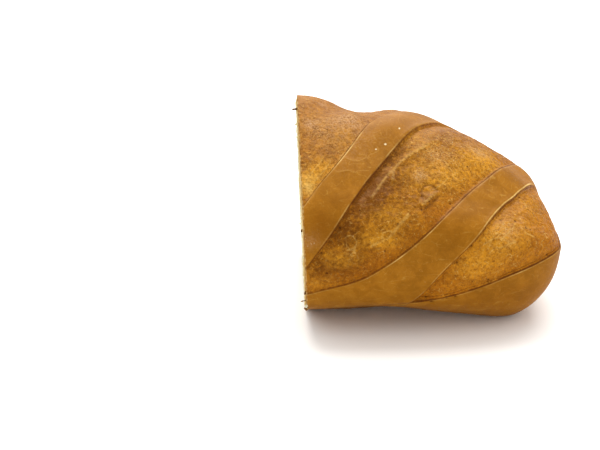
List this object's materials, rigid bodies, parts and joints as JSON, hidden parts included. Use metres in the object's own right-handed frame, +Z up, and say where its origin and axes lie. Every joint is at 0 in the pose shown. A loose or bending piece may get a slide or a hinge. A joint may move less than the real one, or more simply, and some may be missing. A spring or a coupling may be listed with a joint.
{
  "type": "half loaf of hearth bread",
  "caption": "Half of a plump white hearth loaf with a slashed golden-brown crust, cut straight across to show the crumb, for a bread board or bakery scene.",
  "frame": {"origin": "centre of the loaf's bounding box in X and Y, on the plane of its flat baked base", "axes": "+X from the cut face to the round end, -Y the browned side with the slashes, +Y the torn side where it touched its neighbour in the oven, +Z up"},
  "size_m": [0.1422, 0.1404, 0.1115],
  "materials": {
    "crust": "dry baked bread: a golden-brown satin crust with a pale matte crumb on the cut face"
  },
  "bodies": {
    "root": {"loaf": "crust"}
  },
  "joints": []
}
